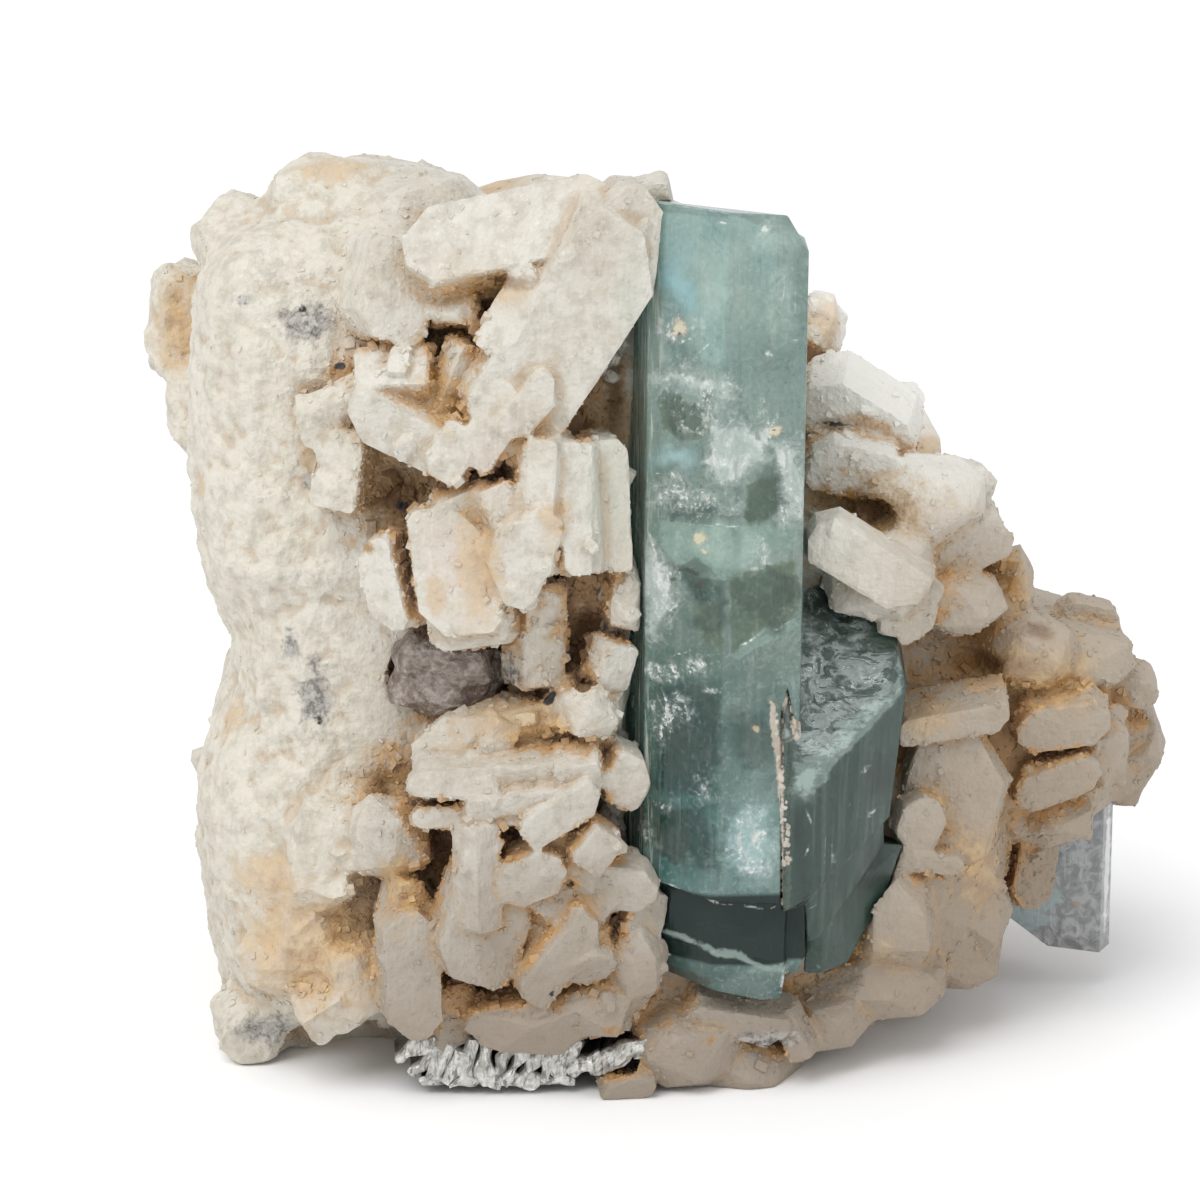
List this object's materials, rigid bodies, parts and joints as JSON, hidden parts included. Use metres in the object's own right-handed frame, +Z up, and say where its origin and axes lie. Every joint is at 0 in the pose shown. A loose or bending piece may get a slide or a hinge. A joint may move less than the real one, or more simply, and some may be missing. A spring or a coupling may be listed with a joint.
{
  "type": "mineral specimen",
  "caption": "Loose natural specimen: an upright six-sided blue-green aquamarine with a short broken one beside it, on a lump of white bladed albite feldspar with mica.",
  "frame": {"origin": "on the flat underside the specimen rests on, below its middle", "axes": "+Z up along the tall crystal, -Y towards the viewer of the displayed face, +X towards the short crystal"},
  "size_m": [0.1038, 0.0665, 0.0869],
  "materials": {
    "albite": "matte",
    "aquamarine": "gloss",
    "aquamarine_broken": "gloss",
    "aquamarine_grey": "gloss",
    "muscovite": "satin",
    "quartz": "satin"
  },
  "bodies": {
    "root": {"albite_matrix": "albite", "aquamarine_tall": "aquamarine", "aquamarine_short": "aquamarine_broken", "aquamarine_side": "aquamarine_grey", "muscovite_book": "muscovite", "smoky_quartz": "quartz"}
  },
  "joints": []
}
